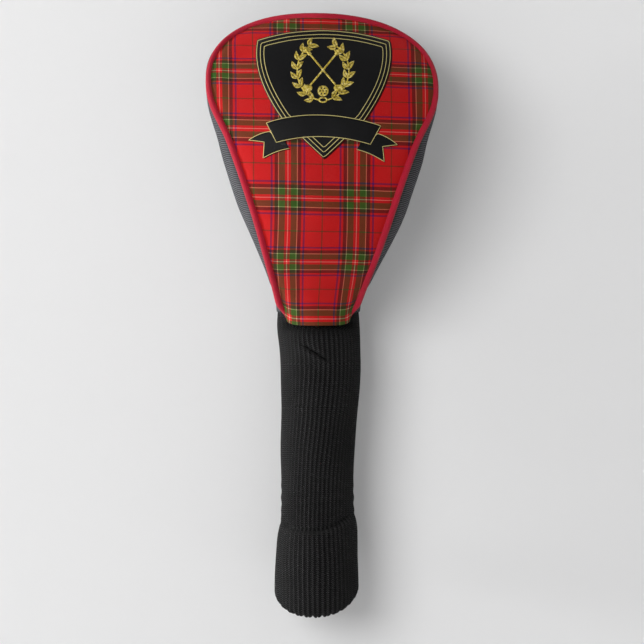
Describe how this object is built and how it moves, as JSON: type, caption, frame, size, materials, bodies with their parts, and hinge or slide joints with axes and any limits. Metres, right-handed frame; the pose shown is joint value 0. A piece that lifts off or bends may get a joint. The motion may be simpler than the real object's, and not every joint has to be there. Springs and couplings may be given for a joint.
{
  "type": "driver head cover",
  "caption": "Padded golf driver head cover with a tartan front panel, piped seams, dark gussets and a long ribbed knit sock that flexes and gathers.",
  "frame": {"origin": "centre of the sock's mouth, on the sock's axis", "axes": "+Z from the mouth to the top of the head, -Y out of the tartan front panel, +X to the right of someone facing that panel"},
  "size_m": [0.132, 0.0862, 0.3283],
  "materials": {
    "tartan_cloth": "printed woven polyester, fine plain weave, semi-matt",
    "black_twill": "black twill cloth with a slight sheen",
    "foam_padding": "light grey open-cell foam",
    "plush_lining": "dark grey short-pile fleece",
    "crimson_piping": "crimson woven piping cloth, semi-matt",
    "black_piping": "black woven piping cloth",
    "piping_cord": "undyed twisted cotton cord",
    "thread": "black polyester sewing thread",
    "binding_tape": "black woven binding tape",
    "elastic": "white woven elastic",
    "knit": "black acrylic rib knit"
  },
  "bodies": {
    "shell": {"crown_panel": "tartan_cloth", "sole_panel": "black_twill", "left_gusset": "black_twill", "right_gusset": "black_twill", "crown_foam": "foam_padding", "sole_foam": "foam_padding", "left_gusset_foam": "foam_padding", "right_gusset_foam": "foam_padding", "crown_lining": "plush_lining", "sole_lining": "plush_lining", "left_gusset_lining": "plush_lining", "right_gusset_lining": "plush_lining", "crown_piping": "crimson_piping", "crown_piping_cord": "piping_cord", "sole_piping": "black_piping", "sole_piping_cord": "piping_cord", "crown_seam_thread": "thread", "sole_seam_thread": "thread", "top_seam_thread": "thread", "neck_binding": "binding_tape", "neck_elastic": "elastic", "neck_seam_thread": "thread", "sock_top": "knit", "sock_top_liner": "knit"},
    "neck": {"sock_neck": "knit", "sock_neck_liner": "knit"},
    "sleeve": {"sock_sleeve": "knit", "sock_sleeve_liner": "knit"},
    "cuff": {"sock_cuff": "knit", "cuff_elastic": "elastic", "hem_thread": "thread"}
  },
  "joints": [
    {"name": "neck_flex", "type": "hinge", "parent": "shell", "child": "neck", "pos_m": [0, 0, 0.137], "axis": [1, 0, 0], "range_deg": [-40, 40], "deforming": ["sock_neck", "sock_neck_liner"]},
    {"name": "neck_sway", "type": "hinge", "parent": "neck", "child": "sleeve", "pos_m": [0, 0, 0.113], "axis": [0, 1, 0], "range_deg": [-40, 40]},
    {"name": "cuff_gather", "type": "slide", "parent": "sleeve", "child": "cuff", "axis": [0, 0, 1], "range_m": [-0.015, 0.032], "stiffness_N_per_m": 40, "deforming": ["sock_sleeve", "sock_sleeve_liner"]}
  ]
}
